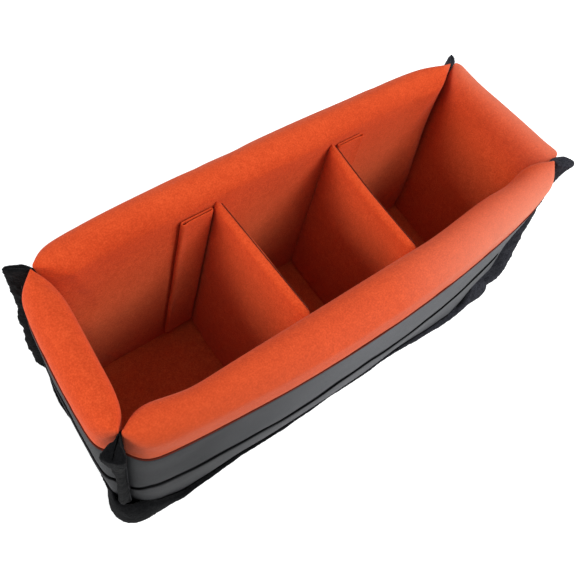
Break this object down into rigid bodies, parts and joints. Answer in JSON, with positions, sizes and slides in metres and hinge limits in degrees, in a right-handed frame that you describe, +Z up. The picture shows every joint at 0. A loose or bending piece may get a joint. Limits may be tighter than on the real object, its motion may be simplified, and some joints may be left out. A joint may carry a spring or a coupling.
{
  "type": "camera bag insert",
  "caption": "Long open-topped padded insert for a camera bag, with thick rolled rims, folded corner ears and upright dividers held by hook tabs.",
  "frame": {"origin": "middle of the flat underside of the base cover, halfway between the foot seams of the walls", "axes": "+Z up out of the open top, +X along the long walls towards the right end, +Y from the front long wall to the back one"},
  "size_m": [0.3466, 0.1404, 0.152],
  "materials": {
    "orange_loop_lining": "brushed loop knit, matt with a pale sheen at its edges",
    "grey_coated_nylon": "coated woven nylon, satin",
    "black_brushed_cloth": "black brushed pile, matt",
    "closed_cell_foam": "closed-cell foam sheet, matt",
    "plastic_board": "stiff plastic board, satin",
    "hook_tape": "woven hook tape, matt"
  },
  "bodies": {
    "insert": {"front_wall_foam": "closed_cell_foam", "front_wall_lining": "orange_loop_lining", "front_wall_upper_shell": "grey_coated_nylon", "front_wall_lower_shell": "grey_coated_nylon", "right_wall_foam": "closed_cell_foam", "right_wall_lining": "orange_loop_lining", "right_wall_upper_shell": "grey_coated_nylon", "right_wall_lower_shell": "grey_coated_nylon", "back_wall_foam": "closed_cell_foam", "back_wall_lining": "orange_loop_lining", "back_wall_upper_shell": "grey_coated_nylon", "back_wall_lower_shell": "grey_coated_nylon", "left_wall_foam": "closed_cell_foam", "left_wall_lining": "orange_loop_lining", "left_wall_upper_shell": "grey_coated_nylon", "left_wall_lower_shell": "grey_coated_nylon", "floor_stiffener": "plastic_board", "floor_foam": "closed_cell_foam", "floor_lining": "orange_loop_lining", "base_cover": "black_brushed_cloth", "front_left_ear": "black_brushed_cloth", "front_right_ear": "black_brushed_cloth", "back_left_ear": "black_brushed_cloth", "back_right_ear": "black_brushed_cloth"},
    "left_divider": {"left_divider_cover": "orange_loop_lining", "left_divider_foam": "closed_cell_foam"},
    "left_divider_back_tab_body": {"left_divider_back_tab": "orange_loop_lining", "left_divider_back_hook": "hook_tape"},
    "left_divider_front_tab_body": {"left_divider_front_tab": "orange_loop_lining", "left_divider_front_hook": "hook_tape"},
    "right_divider": {"right_divider_cover": "orange_loop_lining", "right_divider_foam": "closed_cell_foam"},
    "right_divider_back_tab_body": {"right_divider_back_tab": "orange_loop_lining", "right_divider_back_hook": "hook_tape"},
    "right_divider_front_tab_body": {"right_divider_front_tab": "orange_loop_lining", "right_divider_front_hook": "hook_tape"}
  },
  "joints": [
    {"name": "left_divider_slide", "type": "slide", "parent": "insert", "child": "left_divider", "axis": [1, 0, 0], "range_m": [-0.045, 0.03]},
    {"name": "right_divider_slide", "type": "slide", "parent": "insert", "child": "right_divider", "axis": [1, 0, 0], "range_m": [-0.03, 0.042]},
    {"name": "left_divider_back_tab_peel", "type": "hinge", "parent": "left_divider", "child": "left_divider_back_tab_body", "pos_m": [-0.05764, 0.0359, 0.0152], "axis": [0.0768, 0.0292, 0.9966], "range_deg": [0, 80]},
    {"name": "left_divider_front_tab_peel", "type": "hinge", "parent": "left_divider", "child": "left_divider_front_tab_body", "pos_m": [-0.05764, -0.0364, 0.0152], "axis": [-0.0767, 0.0619, -0.9951], "range_deg": [0, 80]},
    {"name": "right_divider_back_tab_peel", "type": "hinge", "parent": "right_divider", "child": "right_divider_back_tab_body", "pos_m": [0.04633, 0.0359, 0.0152], "axis": [-0.0385, -0.0292, -0.9988], "range_deg": [0, 80]},
    {"name": "right_divider_front_tab_peel", "type": "hinge", "parent": "right_divider", "child": "right_divider_front_tab_body", "pos_m": [0.04633, -0.0364, 0.0152], "axis": [0.0384, -0.062, 0.9973], "range_deg": [0, 80]}
  ]
}
